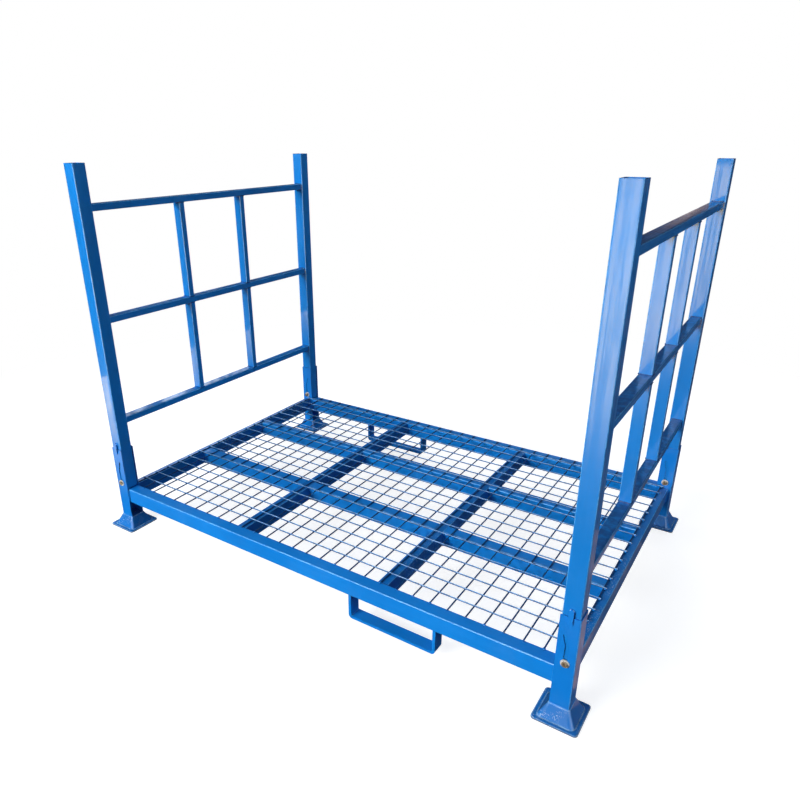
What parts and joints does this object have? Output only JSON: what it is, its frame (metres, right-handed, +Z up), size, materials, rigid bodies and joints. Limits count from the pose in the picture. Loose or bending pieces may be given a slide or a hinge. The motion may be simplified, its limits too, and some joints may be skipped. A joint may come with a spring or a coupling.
{
  "type": "folding stacking rack with mesh deck",
  "caption": "Open stacking rack: tube base with welded wire mesh deck, bell feet and fork guides, and two end frames that lift in slotted stubs and fold down on the deck.",
  "frame": {"origin": "on the floor under the centre of the rack, which is the bottom centre of its box", "axes": "+X along the long sides to the right end, +Y from the front to the rear, +Z up"},
  "size_m": [1.566, 1.058, 1.12],
  "materials": {
    "base_paint": "gloss",
    "wire_paint": "gloss",
    "stub_paint": "gloss",
    "foot_paint": "gloss",
    "frame_paint": "gloss",
    "bolt_zinc": "satin",
    "washer_zinc": "satin"
  },
  "bodies": {
    "base": {"front_side_beam": "base_paint", "front_fork_guide": "base_paint", "rear_side_beam": "base_paint", "rear_fork_guide": "base_paint", "left_end_beam": "base_paint", "left_cross_bearer": "base_paint", "right_end_beam": "base_paint", "right_cross_bearer": "base_paint", "front_inner_bearer_left": "base_paint", "front_inner_bearer_middle": "base_paint", "front_inner_bearer_right": "base_paint", "rear_inner_bearer_left": "base_paint", "rear_inner_bearer_middle": "base_paint", "rear_inner_bearer_right": "base_paint", "mesh_cross_wires": "wire_paint", "mesh_long_wires": "wire_paint", "front_left_stub": "stub_paint", "front_left_foot": "foot_paint", "front_right_stub": "stub_paint", "front_right_foot": "foot_paint", "rear_left_stub": "stub_paint", "rear_left_foot": "foot_paint", "rear_right_stub": "stub_paint", "rear_right_foot": "foot_paint"},
    "left_pivot_hardware": {"left_pivot_bolts": "bolt_zinc", "left_washers": "washer_zinc", "left_lock_nuts": "bolt_zinc"},
    "left_end_frame": {"left_front_post": "frame_paint", "left_front_key_lug": "frame_paint", "left_front_upper_upright": "frame_paint", "left_front_lower_upright": "frame_paint", "left_rear_post": "frame_paint", "left_rear_key_lug": "frame_paint", "left_rear_upper_upright": "frame_paint", "left_rear_lower_upright": "frame_paint", "left_top_rail": "frame_paint", "left_middle_rail": "frame_paint", "left_bottom_rail": "frame_paint"},
    "right_pivot_hardware": {"right_pivot_bolts": "bolt_zinc", "right_washers": "washer_zinc", "right_lock_nuts": "bolt_zinc"},
    "right_end_frame": {"right_front_post": "frame_paint", "right_front_key_lug": "frame_paint", "right_front_upper_upright": "frame_paint", "right_front_lower_upright": "frame_paint", "right_rear_post": "frame_paint", "right_rear_key_lug": "frame_paint", "right_rear_upper_upright": "frame_paint", "right_rear_lower_upright": "frame_paint", "right_top_rail": "frame_paint", "right_middle_rail": "frame_paint", "right_bottom_rail": "frame_paint"}
  },
  "joints": [
    {"name": "left_lift", "type": "slide", "parent": "base", "child": "left_pivot_hardware", "axis": [0, 0, 1], "range_m": [0, 0.046]},
    {"name": "left_fold", "type": "hinge", "parent": "left_pivot_hardware", "child": "left_end_frame", "pos_m": [-0.73, 0, 0.156], "axis": [0, 1, 0], "range_deg": [0, 85]},
    {"name": "right_lift", "type": "slide", "parent": "base", "child": "right_pivot_hardware", "axis": [0, 0, 1], "range_m": [0, 0.046]},
    {"name": "right_fold", "type": "hinge", "parent": "right_pivot_hardware", "child": "right_end_frame", "pos_m": [0.73, 0, 0.156], "axis": [0, -1, 0], "range_deg": [0, 70]}
  ]
}
